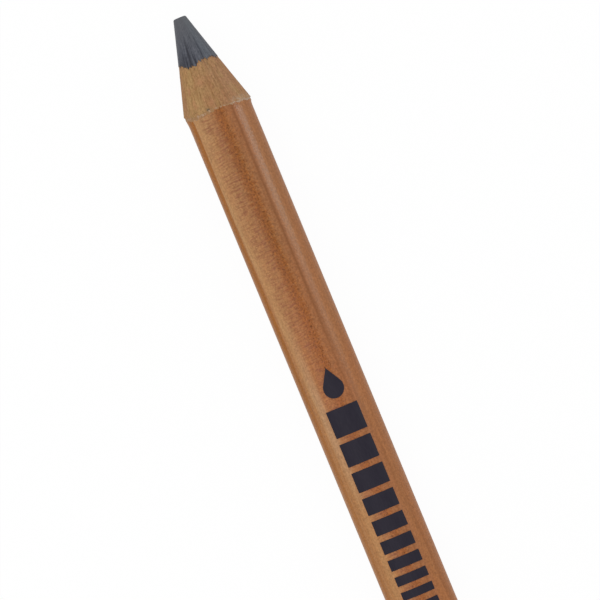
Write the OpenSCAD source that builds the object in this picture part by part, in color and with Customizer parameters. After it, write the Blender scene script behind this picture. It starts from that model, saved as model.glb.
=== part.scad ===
// Water-soluble graphite pencil: a thick graphite lead glued between two grooved
// wooden slats, turned round, lacquered clear, stamped with foil and sharpened.
// Millimetres. It lies along X on the plane z = 0, with its point towards +X.
// Left and right are as seen from the back end, looking towards the point.

/* [Pencil] */
// Overall length, from the back end to the blunt tip
pencil_length = 175; // [120:1:190]
// Outside diameter of the lacquered barrel
barrel_d = 7.6; // [6.6:0.1:10]
// Turn of the joint between the slats, from straight up towards the right
joint_roll = 24; // [0:1:90]

/* [Lead and point] */
// Diameter of the graphite lead
lead_d = 4.4; // [2:0.1:5]
// Diameter of the flat at the blunt tip
tip_d = 1.44; // [0.5:0.02:1.8]
// Angle between the sharpened cone and the axis
point_angle = 16.2; // [10:0.1:22]
// Height of the burr that sharpening raises at the foot of the cone
burr_h = 0.14; // [0.02:0.01:0.3]
// Length of the burr along the barrel
burr_l = 0.9; // [0.4:0.1:3]

/* [Glue] */
// Thickness of the glue between the lead and the grooves
lead_glue_t = 0.08; // [0.04:0.01:0.2]
// Thickness of the glue between the two slats
joint_glue_t = 0.1; // [0.04:0.01:0.2]

/* [Lacquer] */
// Thickness of the clear lacquer on the wood
lacquer_t = 0.1; // [0.05:0.01:0.2]

/* [Stamped marks] */
// Thickness of the foil
foil_t = 0.05; // [0.03:0.01:0.1]
// Distance from the tip to the front of the drop
drop_from_tip = 43; // [25:0.5:50]
// Length of the drop along the barrel
drop_l = 3.6; // [2.4:0.1:5]
// Diameter of the drop's round end
drop_d = 2.4; // [1:0.1:2.4]
// Width of the base of the drop's point, as a share of the round end
drop_taper = 0.94; // [0.6:0.01:0.96]
// Distance from the drop to the first stripe
drop_gap = 1.1; // [0.5:0.1:4]
// Width of the stripes, measured around the barrel
stripe_arc = 3.9; // [2:0.1:6]
// Length of the first stripe along the barrel
first_stripe_l = 3.2; // [1:0.1:3.6]
// Length of each stripe as a share of the one before it
stripe_fade = 0.86; // [0.6:0.01:0.9]
// Bare gap between stripes
stripe_gap = 0.75; // [0.4:0.05:1]
// Number of stripes
stripe_count = 18; // [1:1:20]

/* [Hidden] */
$fn = 96;

// Radii, from the axis outwards
tip_r = tip_d / 2;
lead_r = lead_d / 2;
groove_r = lead_r + lead_glue_t;
barrel_r = barrel_d / 2;
wood_r = barrel_r - lacquer_t;
reach = barrel_r + burr_h;

// Places along the axis, measured from the middle of the pencil
back_z = -pencil_length / 2;
tip_z = pencil_length / 2;
drop_front_z = tip_z - drop_from_tip;
first_stripe_z = drop_front_z - drop_l - drop_gap;

// Place along the axis where the sharpened cone has the radius r
function cone_z(r) = tip_z - (r - tip_r) / tan(point_angle);

// Place along the axis where the burr starts to rise from the barrel
burr_z = cone_z(reach) - burr_l;

// Length of stripe number i, and the place of its front edge
function stripe_l(i) = first_stripe_l * pow(stripe_fade, i);
function stripe_z(i) =
    i == 0 ? first_stripe_z : stripe_z(i - 1) - stripe_l(i - 1) - stripe_gap;

// Lays a shape made along +Z on the plane z = 0, with its +X side up
module lie() {
    translate([0, 0, reach]) rotate([0, 90, 0]) rotate([0, 0, 180]) children();
}

// A straight sleeve from the back end to the sharpened cone
module straight_sleeve(inner_r, outer_r) {
    rotate_extrude() polygon([
        [inner_r, back_z],
        [outer_r, back_z],
        [outer_r, cone_z(outer_r)],
        [inner_r, cone_z(inner_r)]
    ]);
}

// A straight bore in a sleeve whose outside rises to the burr
module burred_sleeve(inner_r, outer_r) {
    rotate_extrude() polygon([
        [inner_r, back_z],
        [outer_r, back_z],
        [outer_r, burr_z],
        [outer_r + burr_h, cone_z(outer_r + burr_h)],
        [inner_r, cone_z(inner_r)]
    ]);
}

// A thin film on the barrel that follows the burr
module burred_film(inner_r, outer_r) {
    rotate_extrude() polygon([
        [inner_r, back_z],
        [outer_r, back_z],
        [outer_r, burr_z],
        [outer_r + burr_h, cone_z(outer_r + burr_h)],
        [inner_r + burr_h, cone_z(inner_r + burr_h)],
        [inner_r, burr_z]
    ]);
}

// The turned wood with its bore, turned so that the joint lies in the XZ plane
module turned_wood() {
    rotate([0, 0, joint_roll]) intersection() {
        burred_sleeve(groove_r, wood_r);
        children();
    }
}

// A block on one side of the glue joint: 1 is the right side, -1 the left
module beside_joint(side) {
    translate([-reach, side > 0 ? joint_glue_t / 2 : -joint_glue_t / 2 - reach, back_z])
        cube([2 * reach, reach, pencil_length]);
}

// A block in the glue joint, on one side of the axis: 1 is the upper side, -1 the lower
module in_joint(side) {
    translate([side > 0 ? 0 : -reach, -joint_glue_t / 2, back_z])
        cube([reach, joint_glue_t, pencil_length]);
}

// A bar with the outline of a drop, its point at the origin and its round end below
module drop_bar() {
    round_r = drop_d / 2;
    point_base_r = round_r * drop_taper;
    centre_to_point = drop_l - round_r;
    translate([0, -centre_to_point, 0]) union() {
        cylinder(r = round_r, h = barrel_d);
        linear_extrude(height = barrel_d)
            polygon([[0, centre_to_point], [point_base_r, 0], [-point_base_r, 0]]);
    }
}

module lead_core() {
    color([0.35, 0.36, 0.38]) lie() rotate_extrude() polygon([
        [0, back_z],
        [lead_r, back_z],
        [lead_r, cone_z(lead_r)],
        [tip_r, tip_z],
        [0, tip_z]
    ]);
}

module left_slat() {
    color([0.63, 0.48, 0.33]) lie() turned_wood() beside_joint(-1);
}

module right_slat() {
    color([0.60, 0.44, 0.31]) lie() turned_wood() beside_joint(1);
}

module lead_glue() {
    color([0.45, 0.36, 0.24]) lie() straight_sleeve(lead_r, groove_r);
}

module upper_joint_glue() {
    color([0.45, 0.36, 0.24]) lie() turned_wood() in_joint(1);
}

module lower_joint_glue() {
    color([0.45, 0.36, 0.24]) lie() turned_wood() in_joint(-1);
}

module clear_lacquer() {
    color([0.59, 0.40, 0.26]) lie() burred_film(wood_r, barrel_r);
}

module drop_mark() {
    color([0.18, 0.17, 0.20]) lie() intersection() {
        translate([0, 0, drop_front_z]) rotate([90, 0, 90]) drop_bar();
        rotate([0, 0, -90]) rotate_extrude(angle = 180)
            translate([barrel_r, back_z]) square([foil_t, pencil_length]);
    }
}

module tone_stripes() {
    stripe_angle = stripe_arc / barrel_r * 180 / PI;
    color([0.18, 0.17, 0.20]) lie() rotate([0, 0, -stripe_angle / 2])
        for (i = [0 : stripe_count - 1])
            translate([0, 0, stripe_z(i) - stripe_l(i)])
                rotate_extrude(angle = stripe_angle)
                    translate([barrel_r, 0]) square([foil_t, stripe_l(i)]);
}

lead_core();
left_slat();
right_slat();
lead_glue();
upper_joint_glue();
lower_joint_glue();
clear_lacquer();
drop_mark();
tone_stripes();
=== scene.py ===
import math
import bmesh
import bpy
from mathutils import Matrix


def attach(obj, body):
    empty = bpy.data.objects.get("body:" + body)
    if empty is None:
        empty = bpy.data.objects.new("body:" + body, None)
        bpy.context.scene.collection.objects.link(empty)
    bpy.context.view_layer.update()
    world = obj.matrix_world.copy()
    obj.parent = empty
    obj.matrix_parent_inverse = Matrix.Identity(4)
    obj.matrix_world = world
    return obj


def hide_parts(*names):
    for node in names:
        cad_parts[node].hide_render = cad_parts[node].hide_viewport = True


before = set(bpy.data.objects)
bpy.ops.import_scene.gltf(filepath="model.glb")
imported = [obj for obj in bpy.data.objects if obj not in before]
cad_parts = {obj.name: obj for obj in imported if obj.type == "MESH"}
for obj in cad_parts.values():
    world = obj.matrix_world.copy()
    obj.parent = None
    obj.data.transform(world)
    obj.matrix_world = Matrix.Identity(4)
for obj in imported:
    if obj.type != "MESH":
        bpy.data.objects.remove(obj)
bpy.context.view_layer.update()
print("frame loaded:", ", ".join(sorted(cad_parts)))

mm = 0.001
fullTurn = 2 * math.pi

# The pencil's own sizes, in metres, as the solids have them unless a note says otherwise
pencil = {
    "backX": -87.5 * mm,
    "tipX": 87.5 * mm,
    "axisZ": 3.94 * mm,
    "barrelR": 3.8 * mm,
    "woodR": 3.7 * mm,
    "grooveR": 2.28 * mm,
    "leadR": 2.2 * mm,
    "tipR": 0.72 * mm,
    "coneSlope": math.tan(math.radians(16.2)),
    "burrHeight": 0.14 * mm,
    "burrLength": 1.3 * mm,             # it rises a little earlier than on the solids
    "jointTurn": math.radians(24),      # turns are measured from straight up towards the right
    "jointGlue": 0.1 * mm,
    "coneAside": 0.09 * mm,             # only here: the sharpener cut the cone a hair off centre
    "asideTurn": math.radians(-90),
}


def coneX(r):
    return pencil["tipX"] - (r - pencil["tipR"]) / pencil["coneSlope"]


def coneR(x):
    return pencil["tipR"] + (pencil["tipX"] - x) * pencil["coneSlope"]


def spread(start, end, count):
    return [start + (end - start) * i / (count - 1) for i in range(count)]


# The direction across a plane that stands on the axis at this turn
def acrossPlane(turn):
    return (0, -math.cos(turn), -math.sin(turn))


# Adds a node; each setting is a property, an input's value, a node or socket to link, or a ramp's stops
def addNode(tree, kind, settings=None):
    node = tree.nodes.new(kind)
    for key, value in (settings or {}).items():
        if isinstance(value, bpy.types.Node):
            value = next(output for output in value.outputs if output.enabled)
        if isinstance(value, bpy.types.NodeSocket):
            tree.links.new(value, node.inputs[key])
        elif key == "stops":
            elements = node.color_ramp.elements
            while len(elements) < len(value):
                elements.new(1)
            for element, (place, shade) in zip(elements, value):
                element.position = place
                element.color = (shade, shade, shade, 1)
        elif isinstance(key, str) and hasattr(node, key):
            setattr(node, key, value)
        else:
            node.inputs[key].default_value = value
    return node


def toLinear(hexColor):
    parts = [int(hexColor[i:i + 2], 16) / 255 for i in (1, 3, 5)]
    return tuple(c / 12.92 if c <= 0.04045 else ((c + 0.055) / 1.055) ** 2.4 for c in parts) + (1,)


def newMaterial(name):
    material = bpy.data.materials.new(name)
    material.use_nodes = True
    tree = material.node_tree
    return material, tree, tree.nodes["Principled BSDF"]


# Object coordinates in millimetres, measured from the pencil's axis
def placeInMm(tree):
    coord = addNode(tree, "ShaderNodeTexCoord")
    return addNode(tree, "ShaderNodeMapping", {
        "Vector": coord.outputs["Object"], "Scale": (1 / mm,) * 3, "Location": (0, 0, -pencil["axisZ"] / mm)})


# A pattern whose marks have this size in millimetres, along x, y and z
def patternOfSize(tree, inMm, size, settings, turn=0):
    place = addNode(tree, "ShaderNodeMapping", {
        "vector_type": "TEXTURE", "Vector": inMm, "Scale": size, "Rotation": (0, 0, turn)})
    return addNode(tree, "ShaderNodeTexNoise", {"Vector": place, "Scale": 1.0, **settings})


# Straight lines from tip to foot, as a blade leaves them: wide is their size round the axis in radians
def bladeLines(tree, inMm, wide, longMm, settings):
    flat = addNode(tree, "ShaderNodeVectorMath", {"operation": "MULTIPLY", 0: inMm, 1: (0, 1, 1)})
    around = addNode(tree, "ShaderNodeVectorMath", {"operation": "NORMALIZE", 0: flat})
    along = addNode(tree, "ShaderNodeVectorMath", {"operation": "MULTIPLY", 0: inMm, 1: (1 / longMm, 0, 0)})
    place = addNode(tree, "ShaderNodeVectorMath", {
        "operation": "MULTIPLY_ADD", 0: around, 1: (0, 1 / wide, 1 / wide), 2: along})
    return addNode(tree, "ShaderNodeTexNoise", {"Vector": place, "Scale": 1.0, **settings})


# A band's share at a place: most up to inner from its middle, and least from outer on
def bandAt(tree, place, middle, inner, outer, most=1.0, least=0.0):
    off = addNode(tree, "ShaderNodeMath", {"operation": "SUBTRACT", 0: place, 1: middle})
    off = addNode(tree, "ShaderNodeMath", {"operation": "ABSOLUTE", 0: off})
    return addNode(tree, "ShaderNodeMapRange", {0: off, 1: inner, 2: outer, 3: most, 4: least})


# Lays a colour over what is there, by the product of its shares. A share is a node, a number or
# a slope: a place, where the slope starts and ends, and the shares there if they aren't 0 and 1.
def layColor(tree, under, over, *shares):
    product = 1.0
    for share in shares:
        if isinstance(share, tuple):
            share = addNode(tree, "ShaderNodeMapRange", dict(enumerate(share)))
        product = addNode(tree, "ShaderNodeMath", {"operation": "MULTIPLY", 0: product, 1: share})
    return addNode(tree, "ShaderNodeMix", {"data_type": "RGBA", 0: product, 6: under, 7: toLinear(over)})


# Gives the shader its colour, its gloss and, from a pattern's height, its bump
def finishShader(tree, shader, color, looks, height=None):
    tree.links.new(color.outputs[2], shader.inputs["Base Color"])
    shader.inputs["Roughness"].default_value = looks["roughness"]
    shader.inputs["Specular IOR Level"].default_value = looks["specular"]
    if height is not None:
        bump = addNode(tree, "ShaderNodeBump", {
            "Height": height, "Strength": looks["bump"], "Distance": looks["bumpDepth"]})
        tree.links.new(bump.outputs[0], shader.inputs["Normal"])


# Incense cedar, grown through both slats: growth bands, rays, fibres and the glued joint, with painted shade
# and painted light along the left side.
# Places are in millimetres: x along the pencil, and ring across the left slat's growth bands.
cedar = {
    "ringTurn": math.radians(-27),      # the left slat's bands lie along this turn
    "rightRingTurn": math.radians(50),  # and the right slat's lines along this one
    "bandReach": 4.0,
    # darkness of the bands, from 4 mm to the left of the axis to 4 mm to the right of it. The darkest stretch
    # on the far left, up to 0.26, is painted shade along the left rim, and the light stretch after it is
    # lighter wood with painted light from the left.
    "bandsAndPaintedShading": [
        (0.0, 0.3), (0.06, 0.25), (0.14, 0.5), (0.2, 0.9), (0.26, 1.0), (0.283, 0.03), (0.40, 0.02),
        (0.455, 0.07), (0.527, 0.32), (0.594, 0.5), (0.636, 0.65), (0.657, 0.84), (0.69, 1.0),
        (0.745, 1.0), (0.775, 0.78), (0.805, 0.66), (0.838, 0.7), (0.853, 0.85), (0.92, 0.75), (1.0, 0.6),
    ],
    "rightSpacing": 0.6,
    "flushColor": "#BE6A38",
    "faintColor": "#AA784B",
    # painted shade for the orange strip along the left rim
    "rimShadeColor": "#9A5D18",
    # painted light for the paler middle of the light band
    "paintedLightColor": "#B89472",
    "roseColor": "#9C6A58",
    "duskShare": 0.35,
    "lineAcross": (0.04, -1, 0),        # the right slat's darker line leaves the joint at a small angle
    "linePlace": 3.79,
    "speck": (76.4, 1.05, 3.76),        # a crumb of graphite in the foot of the cone
}


def growWood(tree, inMm, tones):
    x = addNode(tree, "ShaderNodeSeparateXYZ", {0: inMm}).outputs[0]
    # the bands sway by up to about 0.2 mm over some 20 mm of length
    swayNoise = patternOfSize(tree, inMm, (20, 4, 4), {"Detail": 4.0})
    sway = addNode(tree, "ShaderNodeMath", {"operation": "MULTIPLY_ADD", 0: swayNoise, 1: 0.7, 2: -0.35})
    across = addNode(tree, "ShaderNodeVectorMath", {
        "operation": "DOT_PRODUCT", 0: inMm, 1: acrossPlane(cedar["ringTurn"])})
    ring = addNode(tree, "ShaderNodeMath", {0: across, 1: sway})

    # rays cross the grain as strokes 0.2 mm thick, and feather the edges of the inner bands
    rayLooks = {"Detail": 2.0, "Roughness": 0.5, "Distortion": 0.5}
    strokes = patternOfSize(tree, inMm, (0.19, 1.2, 1.2), rayLooks, math.radians(4))
    feather = addNode(tree, "ShaderNodeMath", {"operation": "SUBTRACT", 0: strokes, 1: 0.5})
    inner = addNode(tree, "ShaderNodeMapRange", {0: ring, 1: -1.4, 2: 0.0, 4: tones["feather"]})
    felt = addNode(tree, "ShaderNodeMath", {"operation": "MULTIPLY_ADD", 0: feather, 1: inner, 2: ring})
    reach = cedar["bandReach"]
    ringPlace = addNode(tree, "ShaderNodeMapRange", {0: felt, 1: -reach, 2: reach})
    # the ramp gives painted shade on the far left, and lighter wood with painted light beside it
    leftBandsAndShading = addNode(tree, "ShaderNodeValToRGB", {0: ringPlace, "stops": cedar["bandsAndPaintedShading"]})
    left = layColor(tree, toLinear(tones["light"]), tones["dark"], leftBandsAndShading)

    # the right slat is cut along the grain, in lines
    across = addNode(tree, "ShaderNodeVectorMath", {
        "operation": "DOT_PRODUCT", 0: inMm, 1: acrossPlane(cedar["rightRingTurn"])})
    rightRing = addNode(tree, "ShaderNodeMath", {0: across, 1: sway})
    rightLines = addNode(tree, "ShaderNodeTexNoise", {
        "noise_dimensions": "1D", "W": rightRing, "Scale": 1 / cedar["rightSpacing"], "Detail": 2.0})
    right = layColor(tree, toLinear(tones["rightLight"]), tones["rightDark"], (rightLines, 0.3, 0.7))
    side = addNode(tree, "ShaderNodeVectorMath", {
        "operation": "DOT_PRODUCT", 0: inMm, 1: acrossPlane(pencil["jointTurn"])})
    onRight = addNode(tree, "ShaderNodeMapRange", {0: side, 1: -0.03, 2: 0.03})
    color = addNode(tree, "ShaderNodeMix", {"data_type": "RGBA", 0: onRight, 6: left, 7: right})

    # warmer patches, about 9 mm long
    patches = patternOfSize(tree, inMm, (9, 2, 2), {"Detail": 2.0})
    color = layColor(tree, color, tones["warm"], (patches, 0.35, 0.7, 0, tones["patch"]))

    # the middle bands are redder from about 30 mm behind the tip
    middle = bandAt(tree, ring, 1.2, 1.0, 2.0, 1.0, 0.35)
    color = layColor(tree, color, cedar["flushColor"], (x, 62, 46, 0, tones["flush"]), middle)

    # the darkest strokes are dusky, in clusters, where the left slat is cut along the rays
    clusterNoise = patternOfSize(tree, inMm, (2.6, 1.2, 1.2), {"Detail": 2.0})
    clusters = addNode(tree, "ShaderNodeMapRange", {0: clusterNoise, 1: 0.1, 2: 0.55})
    rayMiddle = addNode(tree, "ShaderNodeMapRange", {0: x, 1: 62.0, 2: 46.0, 3: 0.3, 4: 1.0})
    rayZone = bandAt(tree, ring, rayMiddle, 0.4, 1.7)
    onLeft = addNode(tree, "ShaderNodeMapRange", {0: onRight, 3: tones["fleck"], 4: 0.0})
    color = layColor(tree, color, tones["fleckColor"], clusters, rayZone, onLeft, (strokes, 0.48, 0.62))
    color = layColor(tree, color, tones["duskColor"], clusters, rayZone, onLeft, cedar["duskShare"])

    # a band of painted shade far out on the left, the pencil's own shadow seen in the lacquer, is wider
    # towards the back
    outerEdge = addNode(tree, "ShaderNodeMapRange", {0: x, 1: 74.0, 2: 38.0, 3: -2.0, 4: -1.15})
    fromOuter = addNode(tree, "ShaderNodeMath", {"operation": "SUBTRACT", 0: ring, 1: outerEdge})
    outer = (fromOuter, -0.2, 0.1, tones["outer"], 0)
    fades = (ring, -3.1, -2.4)
    color = layColor(tree, color, tones["outerShadeColor"], outer, fades)

    # from 40 to 60 mm behind the tip, the bands on the left get fainter, with the painted shade and painted
    # light in them
    fainter, farLeft = (x, 48, 26, 0, tones["faint"]), (ring, -1.35, -0.4, 1, 0)
    color = layColor(tree, color, cedar["faintColor"], fainter, farLeft)

    # an orange strip of painted shade runs along their outside, weaker towards the back
    weaker, outside = (x, 50, 30, tones["strip"], 0.6 * tones["strip"]), (ring, -1.77, -2.07)
    color = layColor(tree, color, cedar["rimShadeColor"], weaker, outside, fades)

    # painted light: the middle of the light band is paler for some 15 mm
    paler, stillPale = (x, 52, 42, 0, tones["paintedLight"]), (x, 27, 36)
    paleZone = bandAt(tree, ring, -0.45, 0.3, 0.85)
    color = layColor(tree, color, cedar["paintedLightColor"], paler, stillPale, paleZone)

    # a rosier band lies between the dark one and the joint
    rose = bandAt(tree, ring, 2.8, 0.3, 0.8, 0.2)
    color = layColor(tree, color, cedar["roseColor"], rose)

    # resin in the dark band: specks 0.2 mm across, dark ones and amber ones
    darkZone = bandAt(tree, ring, 1.8, 0.3, 1.0, 1.0, 0.15)
    resinLooks = {"Detail": 4.0, "Roughness": 0.7, "Distortion": 0.5}
    resin = patternOfSize(tree, inMm, (0.25, 0.2, 0.2), resinLooks, math.radians(15))
    color = layColor(tree, color, tones["resinColor"], (resin, 0.52, 0.64, 0, tones["resin"]), darkZone)
    color = layColor(tree, color, tones["amber"], (resin, 0.46, 0.34, 0, tones["resin"]), darkZone)

    # fibres 0.2 mm wide and 4.5 mm long, much coarser than real ones so that they show
    fibres = patternOfSize(tree, inMm, (4.5, 0.2, 0.2), {"Detail": 3.0, "Roughness": 0.6})
    color = layColor(tree, color, tones["fibreColor"], (fibres, 0.35, 0.7, 0, tones["fibre"]))

    # cells cut open, as mottling of 0.25 mm, which is also coarser than the real one
    mottle = tones["mottle"]
    cells = patternOfSize(tree, inMm, (0.25,) * 3, {"Detail": 3.0, "Roughness": 0.7})
    cells = addNode(tree, "ShaderNodeMapRange", {0: cells, 1: 0.3, 2: 0.7, 3: 1 + mottle, 4: 1 - mottle})
    color = addNode(tree, "ShaderNodeMix", {
        "data_type": "RGBA", "blend_type": "MULTIPLY", 0: 1.0, 6: color, 7: cells})

    # one darker line of the right slat leaves the joint about 31 mm behind the tip
    acrossLine = addNode(tree, "ShaderNodeVectorMath", {
        "operation": "DOT_PRODUCT", 0: inMm, 1: cedar["lineAcross"]})
    line = bandAt(tree, acrossLine, cedar["linePlace"], 0.05, 0.32, tones["line"])
    color = layColor(tree, color, tones["jointColor"], line, onRight)

    # the joint shows less towards the back
    joint = bandAt(tree, side, 0.03, 0.02, 0.26)
    jointShare = (x, 60, 40, tones["joint"], 0.5 * tones["joint"])
    color = layColor(tree, color, tones["jointColor"], joint, jointShare)
    return color, fibres


# Incense cedar under clear lacquer: deep warm bands, with painted shade and painted light on the left, and a
# thin even gloss over them
def makeLacqueredCedar():
    material, tree, shader = newMaterial("clearLacqueredCedar")
    tones = {
        # the light and dark colours, the outer colour, the strip and the paler share hold painted light and
        # painted shade on the left
        "light": "#B88E61", "dark": "#8B5326", "rightLight": "#A67148", "rightDark": "#9B673F",
        "warm": "#A86639", "patch": 0.3, "flush": 0.25,
        "feather": 1.7, "fleckColor": "#824C3E", "fleck": 0.55, "duskColor": "#9C6850",
        "outerShadeColor": "#A46F44", "outer": 0.75, "strip": 0.9, "faint": 0.75, "paintedLight": 0.55,
        "resinColor": "#623618", "amber": "#AE6A2E", "resin": 0.85,
        "fibreColor": "#7E4C28", "fibre": 0.25, "mottle": 0.22,
        "jointColor": "#7A4A28", "joint": 0.66, "line": 0.25,
        "roughness": 0.5, "specular": 0.05, "bump": 0.15, "bumpDepth": 0.01 * mm,
        "coat": 0.13, "coatRoughness": 0.18,
    }
    color, fibres = growWood(tree, placeInMm(tree), tones)
    finishShader(tree, shader, color, tones, fibres)
    shader.inputs["Coat Weight"].default_value = tones["coat"]
    shader.inputs["Coat Roughness"].default_value = tones["coatRoughness"]
    return material


# The same cedar where the sharpener cut it: paler, dry and fibrous, with scores down the cone
def makeBareCedar():
    material, tree, shader = newMaterial("bareCutCedar")
    tones = {
        "light": "#AE8D5E", "dark": "#A4805C", "rightLight": "#B08862", "rightDark": "#A27A54",
        "warm": "#AC7650", "patch": 0.5, "flush": 0.0,
        "feather": 0.6, "fleckColor": "#8A6240", "fleck": 0.25, "duskColor": "#A47C58",
        "outerShadeColor": "#A4805C", "outer": 0.0, "strip": 0.0, "faint": 0.0, "paintedLight": 0.0,
        "resinColor": "#7C5632", "amber": "#B98B50", "resin": 0.35,
        "fibreColor": "#84603A", "fibre": 0.3, "mottle": 0.24,
        "jointColor": "#8E6038", "joint": 0.25, "line": 0.0,
        "yellow": "#A98858", "pink": "#B67E5C", "score": "#80592F", "pore": "#6A4826",
        "dragged": "#55504E", "shredHighlight": "#B4A28E", "speck": "#4E4A40",
        "roughness": 0.8, "specular": 0.15, "bump": 0.5, "bumpDepth": 0.03 * mm,
    }
    inMm = placeInMm(tree)
    color, fibres = growWood(tree, inMm, tones)
    x, y = addNode(tree, "ShaderNodeSeparateXYZ", {0: inMm}).outputs[:2]
    # each cut fibre shows its own colour: yellowish or pink patches about 2 mm long
    hues = patternOfSize(tree, inMm, (2.2, 0.8, 0.8), {"Detail": 5.0, "Roughness": 0.7})
    color = layColor(tree, color, tones["yellow"], (hues, 0.5, 0.3, 0, 0.6))
    color = layColor(tree, color, tones["pink"], (hues, 0.52, 0.7, 0, 0.6))
    # scores 0.2 mm wide halfway down the cone, and torn pores half as wide
    onCone = addNode(tree, "ShaderNodeMapRange", {0: x, 1: 60.0, 2: 70.0})
    scores = bladeLines(tree, inMm, 0.07, 3.0, {"Detail": 3.0, "Roughness": 0.6})
    color = layColor(tree, color, tones["score"], (scores, 0.45, 0.7, 0, 0.4), onCone)
    pores = bladeLines(tree, inMm, 0.035, 0.6, {"Detail": 2.0})
    color = layColor(tree, color, tones["pore"], (pores, 0.56, 0.72, 0, 0.55), onCone)
    # graphite dragged a millimetre down into the scores
    leadEdge = coneX(pencil["leadR"]) / mm
    nearLead = (x, leadEdge - 1.2, leadEdge - 0.2)
    color = layColor(tree, color, tones["dragged"], (pores, 0.54, 0.64, 0, 0.7), nearLead)
    # shreds of lacquer on the foot of the cone, on the right, painted whitish there as a highlight where the
    # gleam falls
    footEdge = coneX(pencil["barrelR"] + pencil["burrHeight"]) / mm
    nearFoot, onRight = (x, footEdge + 0.5, footEdge - 0.1), (y, -1.2, -2.2)
    shreds = patternOfSize(tree, inMm, (0.3,) * 3, {"Detail": 3.0, "Roughness": 0.7})
    color = layColor(tree, color, tones["shredHighlight"], (shreds, 0.4, 0.62, 0, 0.55), nearFoot, onRight)
    toSpeck = addNode(tree, "ShaderNodeVectorMath", {"operation": "DISTANCE", 0: inMm, 1: cedar["speck"]})
    color = layColor(tree, color, tones["speck"], (toSpeck, 0.1, 0.3, 0.75, 0))
    height = addNode(tree, "ShaderNodeMath", {"operation": "MULTIPLY_ADD", 0: scores, 1: onCone, 2: fibres})
    finishShader(tree, shader, color, tones, height)
    return material


# The cut edge of the lacquer film: a little whitish, chipped and dull
def makeCutLacquer():
    material, tree, shader = newMaterial("cutLacquerEdge")
    looks = {
        "cut": "#9A744E", "chipped": "#B2967E", "gleamWhite": "#BDAA98",
        "roughness": 0.65, "specular": 0.2, "bump": 0.5, "bumpDepth": 0.03 * mm,
    }
    inMm = placeInMm(tree)
    chips = patternOfSize(tree, inMm, (0.35,) * 3, {"Detail": 3.0, "Roughness": 0.7})
    color = layColor(tree, toLinear(looks["cut"]), looks["chipped"], (chips, 0.5, 0.66))
    # whiter on the right: a painted highlight where the gleam falls on the chipped edge
    y = addNode(tree, "ShaderNodeSeparateXYZ", {0: inMm}).outputs[1]
    color = layColor(tree, color, looks["gleamWhite"], (y, -1.2, -2.4, 0, 0.4))
    finishShader(tree, shader, color, looks, chips)
    return material


# Water-soluble graphite cut by a blade: cool grey, scored down the cone, rubbed lighter at the tip
def makeGraphite():
    material, tree, shader = newMaterial("cutGraphite")
    looks = {
        "dark": "#393B44", "light": "#5F6169", "worn": "#5E5F62", "crossed": "#2B2C34", "deep": "#292A31",
        "deepTurn": math.radians(-21),
        "roughness": 0.55, "specular": 0.2, "bump": 0.4, "bumpDepth": 0.03 * mm,
    }
    inMm = placeInMm(tree)
    place = addNode(tree, "ShaderNodeSeparateXYZ", {0: inMm}).outputs
    x, z = place[0], place[2]
    # scores 0.15 mm wide, over grains of 0.25 mm, which are coarser than the real ones
    scores = bladeLines(tree, inMm, 0.09, 3.0, {"Detail": 3.0, "Roughness": 0.65})
    grains = patternOfSize(tree, inMm, (0.25,) * 3, {"Detail": 4.0, "Roughness": 0.65})
    grainShare = addNode(tree, "ShaderNodeMapRange", {0: x, 1: 60.0, 2: 70.0, 3: 1.0, 4: 0.4})
    mixed = addNode(tree, "ShaderNodeMix", {"data_type": "FLOAT", 0: grainShare, 2: scores, 3: grains})
    color = layColor(tree, toLinear(looks["dark"]), looks["light"], (mixed, 0.38, 0.62))
    color = layColor(tree, color, looks["worn"], (x, 83.5, 87, 0, 0.6))
    # darker scores where the blade crossed from the wood
    leadEdge = coneX(pencil["leadR"]) / mm
    nearWood = (x, leadEdge + 1.1, leadEdge - 0.2, 0, 0.8)
    color = layColor(tree, color, looks["crossed"], (scores, 0.52, 0.4), nearWood)
    # one deeper score that runs down to the wood
    fromScore = addNode(tree, "ShaderNodeVectorMath", {
        "operation": "DOT_PRODUCT", 0: inMm, 1: acrossPlane(looks["deepTurn"])})
    deep = bandAt(tree, fromScore, 0.0, 0.05, 0.16, 0.85)
    reach, onTop, start = (x, 83.6, 85.8, 1, 0), (z, 0, 0.3), (x, 70, 71)
    color = layColor(tree, color, looks["deep"], deep, reach, onTop, start)
    finishShader(tree, shader, color, looks, mixed)
    return material


# Dried wood glue: a dull brown film
def makeGlue():
    material, tree, shader = newMaterial("driedWoodGlue")
    looks = {"dark": "#8A633E", "light": "#A27A52", "roughness": 0.6, "specular": 0.2}
    blots = patternOfSize(tree, placeInMm(tree), (0.35,) * 3, {"Detail": 2.0})
    color = layColor(tree, toLinear(looks["dark"]), looks["light"], blots)
    finishShader(tree, shader, color, looks)
    return material


# Hot-stamped pigment foil: blue-black and satin, with a little wood grain pressed through
def makeFoil():
    material, tree, shader = newMaterial("stampedDarkFoil")
    looks = {
        "dark": "#221F2A", "light": "#2E2A34",
        "roughness": 0.45, "specular": 0.1, "bump": 0.2, "bumpDepth": 0.01 * mm,
    }
    pressed = patternOfSize(tree, placeInMm(tree), (0.8, 0.2, 0.2), {"Detail": 3.0})
    color = layColor(tree, toLinear(looks["dark"]), looks["light"], pressed)
    finishShader(tree, shader, color, looks, pressed)
    return material


lacqueredCedar = makeLacqueredCedar()
bareCedar = makeBareCedar()
cutLacquer = makeCutLacquer()
graphite = makeGraphite()
glue = makeGlue()
foil = makeFoil()
print("materials made")


def newTree(name, inputs):
    tree = bpy.data.node_groups.new(name, "GeometryNodeTree")
    for label, kind in inputs.items():
        tree.interface.new_socket(name=label, in_out="INPUT", socket_type="NodeSocket" + kind)
    tree.interface.new_socket(name="Geometry", in_out="OUTPUT", socket_type="NodeSocketGeometry")
    return tree, addNode(tree, "NodeGroupInput").outputs


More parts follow.
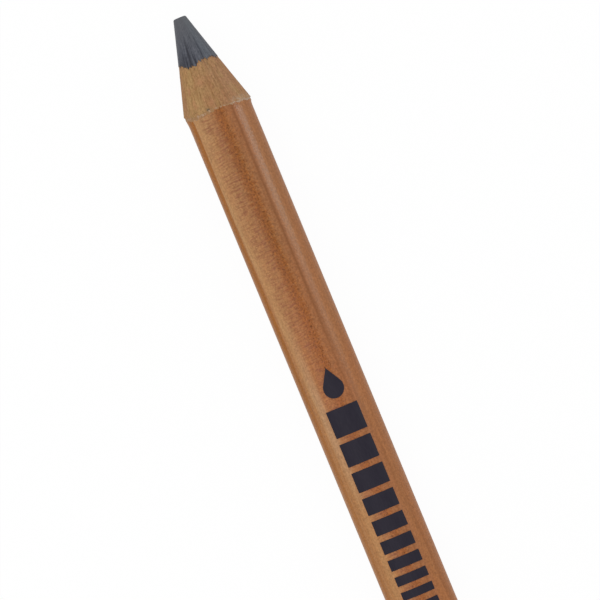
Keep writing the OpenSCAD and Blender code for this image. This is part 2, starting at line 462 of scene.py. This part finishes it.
# Noise that goes about as far below zero as above it, with the piece's own seed
def evenNoise(tree, place, seed, scale, settings):
    noise = addNode(tree, "ShaderNodeTexNoise", {
        "noise_dimensions": "4D", "Vector": place, "W": seed, "Scale": scale, **settings})
    return addNode(tree, "ShaderNodeMapRange", {"clamp": False, 0: noise, 3: -1.0, 4: 1.0})


# Rolls a flat sheet round the pencil's axis. On the sheet, x runs along the pencil,
# y is the turn from straight up towards the right, and z is the distance from the axis.
# The sheet's marks say how much of each effect a point gets.
markNames = ("edge", "relief", "end", "cut", "cone", "foot")


def makeRollTree():
    tree, given = newTree("rollRoundAxis", {
        "Geometry": "Geometry", "Axis height": "Float", "Cone slope": "Float",
        "Cone aside": "Float", "Aside turn": "Float", "Foot lean": "Float",
        "Edge lean": "Float", "Edge wander": "Float", "Edge teeth": "Float", "Teeth per turn": "Float",
        "Dip depth": "Float", "Dip turn": "Float", "Dip width": "Float",
        "Relief depth": "Float", "Relief along": "Float", "Relief around": "Float",
        "End depth": "Float", "End grain": "Float",
        "Seed": "Float", "Material": "Material", "Cut material": "Material",
    })
    marks = {}
    for name in markNames:
        marks[name] = addNode(tree, "GeometryNodeInputNamedAttribute", {"data_type": "FLOAT", "Name": name})
    here = addNode(tree, "GeometryNodeInputPosition")
    x, turn, r = addNode(tree, "ShaderNodeSeparateXYZ", {0: here}).outputs
    sine = addNode(tree, "ShaderNodeMath", {"operation": "SINE", 0: turn})
    cosine = addNode(tree, "ShaderNodeMath", {"operation": "COSINE", 0: turn})
    ring = addNode(tree, "ShaderNodeCombineXYZ", {1: sine, 2: cosine})
    seed = given["Seed"]

    # the edge leans and wanders along the cone, has teeth, and dips where the blade went deeper
    fromAside = addNode(tree, "ShaderNodeMath", {"operation": "SUBTRACT", 0: turn, 1: given["Aside turn"]})
    swing = addNode(tree, "ShaderNodeMath", {"operation": "COSINE", 0: fromAside})
    edge = addNode(tree, "ShaderNodeMath", {"operation": "MULTIPLY", 0: swing, 1: given["Edge lean"]})
    wander = evenNoise(tree, ring, seed, 1.6, {"Detail": 2.0})
    edge = addNode(tree, "ShaderNodeMath", {
        "operation": "MULTIPLY_ADD", 0: wander, 1: given["Edge wander"], 2: edge})
    teethScale = addNode(tree, "ShaderNodeMath", {
        "operation": "DIVIDE", 0: given["Teeth per turn"], 1: fullTurn})
    teeth = evenNoise(tree, ring, seed, teethScale, {"Detail": 2.0, "Roughness": 0.6})
    edge = addNode(tree, "ShaderNodeMath", {
        "operation": "MULTIPLY_ADD", 0: teeth, 1: given["Edge teeth"], 2: edge})
    fromDip = addNode(tree, "ShaderNodeMath", {"operation": "SUBTRACT", 0: turn, 1: given["Dip turn"]})
    fromDip = addNode(tree, "ShaderNodeMath", {"operation": "DIVIDE", 0: fromDip, 1: given["Dip width"]})
    dip = addNode(tree, "ShaderNodeMath", {"operation": "MULTIPLY", 0: fromDip, 1: fromDip})
    dip = addNode(tree, "ShaderNodeMath", {"operation": "MULTIPLY", 0: dip, 1: -1.0})
    dip = addNode(tree, "ShaderNodeMath", {"operation": "EXPONENT", 0: dip})
    dip = addNode(tree, "ShaderNodeMath", {"operation": "MULTIPLY", 0: dip, 1: given["Dip depth"]})
    shift = addNode(tree, "ShaderNodeMath", {"operation": "SUBTRACT", 0: edge, 1: dip})
    shift = addNode(tree, "ShaderNodeMath", {"operation": "MULTIPLY", 0: shift, 1: marks["edge"]})

    # fine relief on the long faces, and roughness on the cut ends
    around = addNode(tree, "ShaderNodeVectorMath", {
        "operation": "SCALE", 0: ring, "Scale": given["Relief around"]})
    along = addNode(tree, "ShaderNodeMath", {"operation": "MULTIPLY", 0: x, 1: given["Relief along"]})
    along = addNode(tree, "ShaderNodeCombineXYZ", {0: along})
    reliefPlace = addNode(tree, "ShaderNodeVectorMath", {0: around, 1: along})
    relief = evenNoise(tree, reliefPlace, seed, 1.0, {"Detail": 3.0})
    relief = addNode(tree, "ShaderNodeMath", {"operation": "MULTIPLY", 0: relief, 1: given["Relief depth"]})
    relief = addNode(tree, "ShaderNodeMath", {"operation": "MULTIPLY", 0: relief, 1: marks["relief"]})
    endPlace = addNode(tree, "ShaderNodeVectorMath", {"operation": "SCALE", 0: ring, "Scale": r})
    rough = evenNoise(tree, endPlace, seed, given["End grain"], {"Detail": 2.0})
    rough = addNode(tree, "ShaderNodeMath", {"operation": "MULTIPLY", 0: rough, 1: given["End depth"]})
    rough = addNode(tree, "ShaderNodeMath", {"operation": "MULTIPLY", 0: rough, 1: marks["end"]})

    # a cone off centre meets the barrel nearer the tip on one side than on the other
    lean = addNode(tree, "ShaderNodeMath", {"operation": "MULTIPLY", 0: given["Foot lean"], 1: swing})
    lean = addNode(tree, "ShaderNodeMath", {"operation": "MULTIPLY", 0: lean, 1: marks["foot"]})
    asideBy = addNode(tree, "ShaderNodeMath", {
        "operation": "MULTIPLY", 0: given["Cone aside"], 1: marks["cone"]})
    asideSine = addNode(tree, "ShaderNodeMath", {"operation": "SINE", 0: given["Aside turn"]})
    asideY = addNode(tree, "ShaderNodeMath", {"operation": "MULTIPLY", 0: asideSine, 1: asideBy})
    asideCosine = addNode(tree, "ShaderNodeMath", {"operation": "COSINE", 0: given["Aside turn"]})
    asideZ = addNode(tree, "ShaderNodeMath", {
        "operation": "MULTIPLY_ADD", 0: asideCosine, 1: asideBy, 2: given["Axis height"]})

    newX = x
    for part in (shift, rough, lean):
        newX = addNode(tree, "ShaderNodeMath", {0: newX, 1: part})
    fall = addNode(tree, "ShaderNodeMath", {"operation": "MULTIPLY", 0: shift, 1: given["Cone slope"]})
    newR = addNode(tree, "ShaderNodeMath", {"operation": "SUBTRACT", 0: r, 1: fall})
    newR = addNode(tree, "ShaderNodeMath", {0: newR, 1: relief})
    newY = addNode(tree, "ShaderNodeMath", {"operation": "MULTIPLY_ADD", 0: newR, 1: sine, 2: asideY})
    newY = addNode(tree, "ShaderNodeMath", {"operation": "MULTIPLY", 0: newY, 1: -1.0})
    newZ = addNode(tree, "ShaderNodeMath", {"operation": "MULTIPLY_ADD", 0: newR, 1: cosine, 2: asideZ})
    there = addNode(tree, "ShaderNodeCombineXYZ", {0: newX, 1: newY, 2: newZ})

    rolled = addNode(tree, "GeometryNodeSetPosition", {"Geometry": given["Geometry"], "Position": there})
    closed = addNode(tree, "GeometryNodeMergeByDistance", {"Geometry": rolled, "Distance": 0.0005 * mm})
    real = addNode(tree, "GeometryNodeRealizeInstances", {"Geometry": closed})
    painted = addNode(tree, "GeometryNodeSetMaterial", {"Geometry": real, "Material": given["Material"]})
    isCut = addNode(tree, "ShaderNodeMath", {"operation": "GREATER_THAN", 0: marks["cut"], 1: 0.9})
    edged = addNode(tree, "GeometryNodeSetMaterial", {
        "Geometry": painted, "Selection": isCut, "Material": given["Cut material"]})
    addNode(tree, "NodeGroupOutput", {0: edged})
    return tree


rollTree = makeRollTree()


# A sheet of rows of points, each point with its marks
def makeSheet(name, rows, loop=False, capEnds=False):
    width = len(rows[0])
    verts = [point[:3] for row in rows for point in row]
    faces = []
    for i in range(len(rows) if loop else len(rows) - 1):
        below, above = i * width, (i + 1) % len(rows) * width
        faces += [(below + j, below + j + 1, above + j + 1, above + j) for j in range(width - 1)]
    if capEnds:
        faces.append([i * width for i in range(len(rows))])
        faces.append([i * width + width - 1 for i in reversed(range(len(rows)))])
    mesh = bpy.data.meshes.new(name)
    mesh.from_pydata(verts, [], faces)
    for place, label in enumerate(markNames):
        marks = mesh.attributes.new(label, "FLOAT", "POINT")
        marks.data.foreach_set("value", [point[3 + place] for row in rows for point in row])
    piece = bpy.data.objects.new(name, mesh)
    bpy.context.scene.collection.objects.link(piece)
    return piece


# Rows round the axis for a profile of (x, r, marks); a gap leaves room at both ends of each row
def turnProfile(profile, fromTurn, toTurn, steps, gap=0):
    rows = []
    for x, r, marks in profile:
        spare = math.asin(gap / r) if gap else 0
        full = [marks.get(label, 0) for label in markNames]
        rows.append([(x, a, r, *full) for a in spread(fromTurn + spare, toTurn - spare, steps + 1)])
    return rows


# Runs the tree on the piece and keeps its result as a plain mesh
def settle(piece, tree, values, sharpAngle=40):
    modifier = piece.modifiers.new("shape", "NODES")
    modifier.node_group = tree
    for item in tree.interface.items_tree:
        if item.in_out == "INPUT" and item.name in values:
            modifier[item.identifier] = values[item.name]
    bpy.context.view_layer.update()
    shaped = piece.evaluated_get(bpy.context.evaluated_depsgraph_get())
    mesh = bpy.data.meshes.new_from_object(shaped)
    piece.modifiers.remove(modifier)
    piece.data = mesh
    mesh.name = piece.name
    body = bmesh.new()
    body.from_mesh(mesh)
    bmesh.ops.recalc_face_normals(body, faces=body.faces)
    body.to_mesh(mesh)
    body.free()
    mesh.shade_smooth()
    mesh.set_sharp_from_angle(angle=math.radians(sharpAngle))


def fit(piece, slot, *nodes):
    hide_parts(*nodes)
    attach(piece, "root")
    print(piece.name, "fitted:", len(piece.data.polygons), "faces")


rollBase = {
    "Axis height": pencil["axisZ"], "Cone slope": pencil["coneSlope"],
    "Cone aside": pencil["coneAside"], "Aside turn": pencil["asideTurn"],
    "Foot lean": pencil["coneAside"] / pencil["coneSlope"],
}

# Graphite lead: a rod with a scored cone and a worn flat tip
lead = {
    "skin": 0.02 * mm,          # the graphite stands this much over the wood's cone
    "smear": 0.16 * mm,         # its edge is rubbed this far over the wood
    "edgeThick": 0.08 * mm,
    "neck": 2.0 * mm,           # behind its edge, the rod draws in by the neck's drop
    "neckEnd": 1.8 * mm,
    "neckDrop": 0.1 * mm,
    "bevel": 0.03 * mm,
    "lean": 0.3 * mm,
    "dipDepth": 0.75 * mm,      # its edge dips once, on the left of the top
    "dipTurn": math.radians(-25),
    "dipWidth": math.radians(30),
    "wander": 0.08 * mm,
    "teeth": 0.75 * mm,
    "teethPerTurn": 95,
    "scoreDepth": 0.016 * mm,
    "scoresPerTurn": 60,
    "scoresPerMm": 0.3,
    "endDepth": 0.03 * mm,
    "endGrainsPerMm": 6,
    "tipStart": 0.09 * mm,      # the rim of the tip is rounded from here
    "tipFlat": 0.1 * mm,        # and its flat starts this far in
    # the rim's rows: millimetres behind the tip and inside the rim, and shares of scores and roughness
    "tipRows": ((0.04, 0.01, 0.4, 0.3), (0.01, 0.05, 0.3, 0.6)),
    "steps": 540,
    "seed": 3.0,
}


def makeLead():
    edgeX = coneX(pencil["leadR"]) - lead["smear"]
    back, tip, r, tipR = pencil["backX"], pencil["tipX"], pencil["leadR"], pencil["tipR"]
    bevel = lead["bevel"]
    profile = [(back, f * (r - bevel), {"end": 1}) for f in spread(0, 1, 8)]
    profile += [(back + bevel, r, {}), (edgeX - lead["neck"], r, {})]
    profile += [(edgeX - lead["neckEnd"], r - lead["neckDrop"], {})]
    profile += [(edgeX, coneR(edgeX) - lead["edgeThick"], {"edge": 1, "cone": 1})]
    coneEnd = tip - lead["tipStart"]
    for f in spread(0, 1, 64):
        x = edgeX + (coneEnd - edgeX) * f
        relief = min(1, 0.3 + f * 4) * (1 - 0.5 * f)
        profile.append((x, coneR(x) + lead["skin"], {"edge": max(0, 1 - f * 3), "relief": relief, "cone": 1}))
    for behind, inside, scores, rough in lead["tipRows"]:
        profile.append((tip - behind * mm, tipR - inside * mm, {"relief": scores, "end": rough, "cone": 1}))
    profile += [(tip, (tipR - lead["tipFlat"]) * f, {"end": 1, "cone": 1}) for f in spread(1, 0, 8)]
    piece = makeSheet("graphiteLead", turnProfile(profile, -math.pi, math.pi, lead["steps"]))
    settle(piece, rollTree, {
        **rollBase, "Edge lean": lead["lean"], "Edge wander": lead["wander"],
        "Edge teeth": lead["teeth"], "Teeth per turn": lead["teethPerTurn"],
        "Dip depth": lead["dipDepth"], "Dip turn": lead["dipTurn"], "Dip width": lead["dipWidth"],
        "Relief depth": lead["scoreDepth"], "Relief along": lead["scoresPerMm"] / mm,
        "Relief around": lead["scoresPerTurn"] / fullTurn,
        "End depth": lead["endDepth"], "End grain": lead["endGrainsPerMm"] / mm,
        "Seed": lead["seed"], "Material": graphite, "Cut material": graphite,
    })
    fit(piece, "graphite", "lead_core")


makeLead()

# The two wooden slats and the glue between them: fibrous on the cone, sawn at the back end
slat = {
    "tuck": 1.0 * mm,           # how far the wood runs on under the lead's edge
    "tuckDrop": 0.025 * mm,     # it sinks this much under that edge
    "tuckStart": 1.2 * mm,      # and starts to sink this far behind it
    "tuckLength": 0.6 * mm,
    "frontOut": 0.05 * mm,      # the hidden front end is blunt, and slants back to the groove
    "frontDrop": 0.1 * mm,
    "frontSlant": 1.8 * mm,
    "ridge": 0.08 * mm,         # the foot of the cone stands this much over the underside of the lacquer
    "swell": 0.05 * mm,         # and is a little fuller than a true cone
    # the rise to the ridge: millimetres behind the foot, and over the turned wood
    "rise": ((0.75, 0.09), (0.35, 0.135), (0.15, 0.165)),
    "fibreDepth": 0.012 * mm,
    "fibresPerTurn": 100,
    "fibresPerMm": 0.5,
    "endDepth": 0.02 * mm,
    "endGrainsPerMm": 5,
    "steps": 260,
    "glueSteps": 2,
    "glueSunk": 0.012 * mm,     # the glue line lies a little lower than the wood
    "seed": 11.0,
}


def makeWood(name, node, slot, material, fromTurn, toTurn, steps, gap, sunk):
    back, woodR, grooveR = pencil["backX"], pencil["woodR"], pencil["grooveR"]
    burrStart = coneX(pencil["barrelR"] + pencil["burrHeight"]) - pencil["burrLength"]
    edgeX = coneX(pencil["leadR"])
    foot, front = coneX(woodR + pencil["burrHeight"] + slat["ridge"]), edgeX + slat["tuck"]
    profile = [(back + sunk, r, {"end": 1}) for r in spread(grooveR, woodR - sunk, 10)]
    profile += [(burrStart, woodR - sunk, {})]
    for behind, rise in slat["rise"]:
        profile.append((foot - behind * mm, woodR + rise * mm - sunk, {"relief": 0.5, "foot": 1 - behind}))
    for f in spread(0, 1, 80):
        x = foot + (front - foot) * f
        under = min(1, max(0, (x - edgeX + slat["tuckStart"]) / slat["tuckLength"]))
        r = coneR(x) - sunk - slat["tuckDrop"] * under + slat["swell"] * max(0, 1 - 2 * f)
        profile.append((x, r, {"relief": 1 - 0.75 * under, "cone": f, "foot": 1 - f}))
    profile += [(front + slat["frontOut"], coneR(front) - slat["frontDrop"], {"cone": 1})]
    profile += [(front - slat["frontSlant"], grooveR, {})]
    piece = makeSheet(name, turnProfile(profile, fromTurn, toTurn, steps, gap), True, True)
    settle(piece, rollTree, {
        **rollBase, "Relief depth": slat["fibreDepth"], "Relief along": slat["fibresPerMm"] / mm,
        "Relief around": slat["fibresPerTurn"] / fullTurn,
        "End depth": slat["endDepth"], "End grain": slat["endGrainsPerMm"] / mm,
        "Seed": slat["seed"] + fromTurn, "Material": material, "Cut material": material,
    })
    fit(piece, slot, node)


upper, lower, halfGap = pencil["jointTurn"], pencil["jointTurn"] - math.pi, pencil["jointGlue"] / 2
steps, glueSteps, sunk = slat["steps"], slat["glueSteps"], slat["glueSunk"]
makeWood("leftCedarSlat", "left_slat", "cedar_wood", bareCedar, lower, upper, steps, halfGap, 0)
makeWood("rightCedarSlat", "right_slat", "cedar_wood", bareCedar, upper, upper + math.pi, steps, halfGap, 0)
makeWood("upperJointGlue", "upper_joint_glue", "wood_glue", glue, upper, upper, glueSteps, -halfGap, sunk)
makeWood("lowerJointGlue", "lower_joint_glue", "wood_glue", glue, lower, lower, glueSteps, -halfGap, sunk)

# Glue round the lead, seen only as a ring at the back end
leadGlue = {
    "sunk": 0.02 * mm,
    "stop": 2.2 * mm,           # it ends this far behind the lead's edge
    "endDepth": 0.015 * mm,
    "endGrainsPerMm": 4,
    "steps": 180,
    "seed": 2.0,
}


def makeLeadGlue():
    back, end = pencil["backX"] + leadGlue["sunk"], coneX(pencil["leadR"]) - leadGlue["stop"]
    inner, outer = pencil["leadR"], pencil["grooveR"]
    profile = [(back, r, {"end": 1}) for r in (inner, (inner + outer) / 2, outer)]
    profile += [(x, outer, {}) for x in spread(back + 1 * mm, end, 6)]
    profile += [(x, inner, {}) for x in spread(end, back + 1 * mm, 6)]
    piece = makeSheet("leadGlue", turnProfile(profile, -math.pi, math.pi, leadGlue["steps"]), True)
    settle(piece, rollTree, {
        **rollBase, "End depth": leadGlue["endDepth"], "End grain": leadGlue["endGrainsPerMm"] / mm,
        "Seed": leadGlue["seed"], "Material": glue, "Cut material": glue,
    })
    fit(piece, "wood_glue", "lead_glue")


makeLeadGlue()

# Clear lacquer: an even film along the barrel, with a chipped burr where the sharpener stopped
lacquer = {
    "bevel": 0.03 * mm,
    "lip": 0.1 * mm,            # height of the film's raised edge
    "lipFall": 0.04 * mm,
    "setBack": 0.25 * mm,       # the edge lies this far behind the ridge
    "edgeWide": 0.4 * mm,
    "wornDepth": 0.55 * mm,     # and further back on the left, where the blade took it off
    "wornTurn": math.radians(-45),
    "wornWidth": math.radians(30),
    "wander": 0.12 * mm,
    "teeth": 0.35 * mm,
    "teethPerTurn": 100,
    "chipDepth": 0.03 * mm,
    "chipsPerMm": 1,
    "chipsAround": 5.0,
    "sharpAngle": 50,
    "steps": 480,
    "seed": 5.0,
}


def makeLacquer():
    back, barrelR, woodR = pencil["backX"], pencil["barrelR"], pencil["woodR"]
    bevel, lip = lacquer["bevel"], lacquer["lip"]
    burrX = coneX(barrelR + pencil["burrHeight"])
    burrStart, burrEnd = burrX - pencil["burrLength"], burrX - lacquer["setBack"]
    profile = [(back, woodR, {}), (back, barrelR - bevel, {})]
    profile += [(back + bevel * 0.3, barrelR - bevel * 0.3, {})]
    profile += [(x, barrelR, {}) for x in spread(back + bevel, burrStart, 60)]
    for f in spread(0.08, 1, 14):
        profile.append((burrStart + (burrEnd - burrStart) * f, barrelR + lip * f ** 2.2,
                        {"edge": f ** 2, "relief": f ** 3, "foot": f ** 2}))
    for f in spread(0, 1, 5):
        profile.append((burrEnd + lacquer["edgeWide"] * f, barrelR + lip - lacquer["lipFall"] * f,
                        {"edge": 1, "relief": 0.6, "cut": 1, "foot": 1}))
    profile += [(burrStart, woodR, {})]
    piece = makeSheet("clearLacquer", turnProfile(profile, -math.pi, math.pi, lacquer["steps"]), True)
    settle(piece, rollTree, {
        **rollBase, "Cone slope": 0.0, "Edge wander": lacquer["wander"],
        "Edge teeth": lacquer["teeth"], "Teeth per turn": lacquer["teethPerTurn"],
        "Dip depth": lacquer["wornDepth"], "Dip turn": lacquer["wornTurn"], "Dip width": lacquer["wornWidth"],
        "Relief depth": lacquer["chipDepth"], "Relief along": lacquer["chipsPerMm"] / mm,
        "Relief around": lacquer["chipsAround"],
        "Seed": lacquer["seed"], "Material": lacqueredCedar, "Cut material": cutLacquer,
    }, lacquer["sharpAngle"])
    fit(piece, "lacquered_wood", "clear_lacquer")


makeLacquer()

# Stamped stripes that get shorter towards the back end, wrapped on the barrel
stripes = {
    "Count": 18,
    "First length": 3.2 * mm,
    "Ratio": 0.86,
    "Gap": 0.75 * mm,
    "Front": 39.8 * mm,         # front edge of the first stripe
    "Around": 3.9 * mm,
    "Foil": 0.05 * mm,
    "Sunk": 0.01 * mm,
    "Rag": 0.04 * mm,
    "Seed": 8.0,
}


def makeStripeTree():
    tree, given = newTree("stampedStripes", {
        "Count": "Int", "First length": "Float", "Ratio": "Float", "Gap": "Float", "Front": "Float",
        "Around": "Float", "Foil": "Float", "Sunk": "Float", "Rag": "Float",
        "Barrel radius": "Float", "Axis height": "Float", "Seed": "Float", "Material": "Material",
    })
    # each stripe is a share of the one before it, and starts after all stripes and gaps in front of it
    number = addNode(tree, "GeometryNodeInputIndex")
    shrink = addNode(tree, "ShaderNodeMath", {"operation": "POWER", 0: given["Ratio"], 1: number})
    length = addNode(tree, "ShaderNodeMath", {"operation": "MULTIPLY", 0: given["First length"], 1: shrink})
    spent = addNode(tree, "ShaderNodeMath", {"operation": "SUBTRACT", 0: given["First length"], 1: length})
    unit = addNode(tree, "ShaderNodeMath", {"operation": "SUBTRACT", 0: 1.0, 1: given["Ratio"]})
    before = addNode(tree, "ShaderNodeMath", {"operation": "DIVIDE", 0: spent, 1: unit})
    before = addNode(tree, "ShaderNodeMath", {
        "operation": "MULTIPLY_ADD", 0: given["Gap"], 1: number, 2: before})
    half = addNode(tree, "ShaderNodeMath", {"operation": "MULTIPLY_ADD", 0: length, 1: 0.5, 2: before})
    middle = addNode(tree, "ShaderNodeMath", {"operation": "SUBTRACT", 0: given["Front"], 1: half})
    place = addNode(tree, "ShaderNodeCombineXYZ", {0: middle})
    points = addNode(tree, "GeometryNodeMeshLine", {"Count": given["Count"], "Offset": (0, 0, 0)})
    points = addNode(tree, "GeometryNodeSetPosition", {"Geometry": points, "Position": place})
    depth = addNode(tree, "ShaderNodeMath", {0: given["Foil"], 1: given["Sunk"]})
    size = addNode(tree, "ShaderNodeCombineXYZ", {0: 1.0, 1: given["Around"], 2: depth})
    block = addNode(tree, "GeometryNodeMeshCube", {
        "Size": size, "Vertices X": 14, "Vertices Y": 33, "Vertices Z": 2})
    stretch = addNode(tree, "ShaderNodeCombineXYZ", {0: length, 1: 1.0, 2: 1.0})
    row = addNode(tree, "GeometryNodeInstanceOnPoints", {
        "Points": points, "Instance": block, "Scale": stretch})
    row = addNode(tree, "GeometryNodeRealizeInstances", {"Geometry": row})

    # the stamp's edges are a little ragged; then the row is bent round the barrel
    here = addNode(tree, "GeometryNodeInputPosition")
    ragged = addNode(tree, "ShaderNodeTexNoise", {
        "noise_dimensions": "4D", "Vector": here, "W": given["Seed"], "Scale": 3 / mm, "Detail": 2.0})
    ragged = addNode(tree, "ShaderNodeVectorMath", {
        "operation": "SUBTRACT", 0: ragged.outputs["Color"], 1: (0.5, 0.5, 0.5)})
    ragged = addNode(tree, "ShaderNodeVectorMath", {"operation": "MULTIPLY", 0: ragged, 1: (1, 1, 0)})
    ragged = addNode(tree, "ShaderNodeVectorMath", {"operation": "SCALE", 0: ragged, "Scale": given["Rag"]})
    moved = addNode(tree, "ShaderNodeVectorMath", {0: here, 1: ragged})
    x, y, z = addNode(tree, "ShaderNodeSeparateXYZ", {0: moved}).outputs
    turn = addNode(tree, "ShaderNodeMath", {"operation": "DIVIDE", 0: y, 1: given["Barrel radius"]})
    lift = addNode(tree, "ShaderNodeMath", {"operation": "MULTIPLY_ADD", 0: depth, 1: 0.5, 2: z})
    lift = addNode(tree, "ShaderNodeMath", {"operation": "SUBTRACT", 0: lift, 1: given["Sunk"]})
    r = addNode(tree, "ShaderNodeMath", {0: given["Barrel radius"], 1: lift})
    sine = addNode(tree, "ShaderNodeMath", {"operation": "SINE", 0: turn})
    cosine = addNode(tree, "ShaderNodeMath", {"operation": "COSINE", 0: turn})
    newY = addNode(tree, "ShaderNodeMath", {"operation": "MULTIPLY", 0: r, 1: sine})
    newZ = addNode(tree, "ShaderNodeMath", {
        "operation": "MULTIPLY_ADD", 0: r, 1: cosine, 2: given["Axis height"]})
    there = addNode(tree, "ShaderNodeCombineXYZ", {0: x, 1: newY, 2: newZ})
    row = addNode(tree, "GeometryNodeSetPosition", {"Geometry": row, "Position": there})
    row = addNode(tree, "GeometryNodeRealizeInstances", {"Geometry": row})
    row = addNode(tree, "GeometryNodeSetMaterial", {"Geometry": row, "Material": given["Material"]})
    addNode(tree, "NodeGroupOutput", {0: row})
    return tree


def makeStripes():
    piece = bpy.data.objects.new("toneStripes", bpy.data.meshes.new("toneStripes"))
    bpy.context.scene.collection.objects.link(piece)
    settle(piece, makeStripeTree(), {
        **stripes, "Barrel radius": pencil["barrelR"], "Axis height": pencil["axisZ"], "Material": foil,
    })
    fit(piece, "dark_foil", "tone_stripes")


makeStripes()

# Stamped drop, its point towards the tip of the pencil
drop = {
    "point": 44.5 * mm,
    "length": 3.6 * mm,
    "roundR": 1.2 * mm,
    "foil": 0.05 * mm,
    "sunk": 0.01 * mm,
    "steps": 96,
    "rings": 9,
    "seed": 1.0,
}


def makeDrop():
    centreX = drop["point"] - drop["length"] + drop["roundR"]
    toPoint = drop["length"] - drop["roundR"]
    touch = math.acos(drop["roundR"] / toPoint)
    outline = []
    for a in spread(0, fullTurn, drop["steps"] + 1):
        bearing = abs(math.remainder(a, fullTurn))
        reach = drop["roundR"] / math.cos(touch - bearing) if bearing < touch else drop["roundR"]
        outline.append((reach * math.cos(a), reach * math.sin(a)))
    barrelR = pencil["barrelR"]
    top, floor = barrelR + drop["foil"], barrelR - drop["sunk"]
    rings = [(f, top) for f in spread(0, 1, drop["rings"])]
    rings += [(f, floor) for f in spread(1, 0, drop["rings"])]
    none = [0] * len(markNames)
    rows = [[(centreX + px * f, py * f / barrelR, r, *none) for px, py in outline] for f, r in rings]
    piece = makeSheet("dropMark", rows)
    settle(piece, rollTree, {**rollBase, "Seed": drop["seed"], "Material": foil, "Cut material": foil})
    fit(piece, "dark_foil", "drop_mark")


makeDrop()

# White paper floor that keeps a faint shadow, under a plain pale world
stage = {
    "floorHalf": 3.0,
    "floorZ": -0.05 * mm,
    "paper": "#FAFAFA",
    "roughness": 0.9,
    "specular": 0.1,
    "whiteShare": 0.96,         # how far the paper shows as plain white
    "worldLight": 0.8,
}


def makeStage():
    half = stage["floorHalf"]
    mesh = bpy.data.meshes.new("floor")
    corners = [(-half, -half), (half, -half), (half, half), (-half, half)]
    mesh.from_pydata([(x, y, stage["floorZ"]) for x, y in corners], [], [(0, 1, 2, 3)])
    floor = bpy.data.objects.new("floor", mesh)
    bpy.context.scene.collection.objects.link(floor)
    material, tree, shader = newMaterial("whitePaperFloor")
    shader.inputs["Base Color"].default_value = toLinear(stage["paper"])
    shader.inputs["Roughness"].default_value = stage["roughness"]
    shader.inputs["Specular IOR Level"].default_value = stage["specular"]
    rays = addNode(tree, "ShaderNodeLightPath").outputs
    seen = rays["Is Camera Ray"]
    for kind in ("Is Glossy Ray", "Is Transmission Ray"):
        seen = addNode(tree, "ShaderNodeMath", {"operation": "MAXIMUM", 0: seen, 1: rays[kind]})
    share = addNode(tree, "ShaderNodeMath", {"operation": "MULTIPLY", 0: seen, 1: stage["whiteShare"]})
    white = addNode(tree, "ShaderNodeEmission", {"Color": (1, 1, 1, 1), "Strength": 1.0})
    mixed = addNode(tree, "ShaderNodeMixShader", {0: share, 1: shader, 2: white})
    tree.links.new(mixed.outputs[0], tree.nodes["Material Output"].inputs["Surface"])
    mesh.materials.append(material)

    world = bpy.data.worlds.new("paleStudio")
    bpy.context.scene.world = world
    world.use_nodes = True
    light = world.node_tree.nodes["Background"]
    light.inputs["Color"].default_value = (1, 1, 1, 1)
    rays = addNode(world.node_tree, "ShaderNodeLightPath").outputs
    strength = addNode(world.node_tree, "ShaderNodeMapRange", {
        0: rays["Is Camera Ray"], 3: stage["worldLight"], 4: 1.0})
    world.node_tree.links.new(strength.outputs[0], light.inputs["Strength"])


makeStage()

# One soft key lamp, and a row of lamps that only draw the long gleam on the lacquer
lamps = {
    "keyPlace": (0.05, 0.14, 0.52),
    "keyTarget": (0.05, 0, 0),
    "keySize": (0.5, 0.4),
    "keyRadiance": 1.1,
    # from and to along the pencil in millimetres, and radiance, weaker towards the back
    "gleams": ((66, 122, 10), (58, 66, 7.5), (48, 58, 4.5), (38, 48, 3.5)),
    "gleamY": -85 * mm,
    "gleamZ": 33 * mm,
    "gleamHeight": 38 * mm,
    "gleamColor": (0.72, 0.97, 1.0),
}


def addSoftbox(name, place, target, width, height, radiance):
    light = bpy.data.lights.new(name, "AREA")
    light.shape = "RECTANGLE"
    light.size, light.size_y = width, height
    light.energy = radiance * math.pi * width * height
    lamp = bpy.data.objects.new(name, light)
    bpy.context.scene.collection.objects.link(lamp)
    lamp.location = place
    lamp.visible_camera = False
    wayX, wayY, wayZ = [t - p for t, p in zip(target, place)]
    tilt = math.atan2(math.hypot(wayX, wayY), -wayZ)
    lamp.rotation_euler = (tilt, 0, math.atan2(wayY, wayX) - math.pi / 2)
    return lamp


addSoftbox("keySoftbox", lamps["keyPlace"], lamps["keyTarget"], *lamps["keySize"], lamps["keyRadiance"])
for number, (fromMm, toMm, radiance) in enumerate(lamps["gleams"], 1):
    middle, wide = (fromMm + toMm) / 2 * mm, (toMm - fromMm) * mm
    place, target = (middle, lamps["gleamY"], lamps["gleamZ"]), (middle, 0, lamps["gleamZ"])
    strip = addSoftbox("gleam" + str(number), place, target, wide, lamps["gleamHeight"], radiance)
    strip.visible_diffuse = False
    strip.data.color = lamps["gleamColor"]
print("stage and lights set")

# Camera straight above, turned as in the photograph, with a long lens
view = {
    "lens": 300.0,
    "sensor": 36.0,
    "across": 68.06 * mm,       # width of what it sees at the pencil's axis
    "turn": math.radians(-112.515),
    "fromTip": 34.81 * mm,
    "aside": -0.30 * mm,
    "clip": (0.01, 20),
}


def makeCamera():
    data = bpy.data.cameras.new("camera")
    data.lens, data.sensor_width = view["lens"], view["sensor"]
    data.clip_start, data.clip_end = view["clip"]
    camera = bpy.data.objects.new("camera", data)
    bpy.context.scene.collection.objects.link(camera)
    distance = view["across"] * view["lens"] / view["sensor"]
    camera.location = (pencil["tipX"] - view["fromTip"], view["aside"], pencil["axisZ"] + distance)
    camera.rotation_euler = (0, 0, view["turn"])
    bpy.context.scene.camera = camera


makeCamera()
bpy.context.scene.view_settings.view_transform = "Standard"
print("camera set")
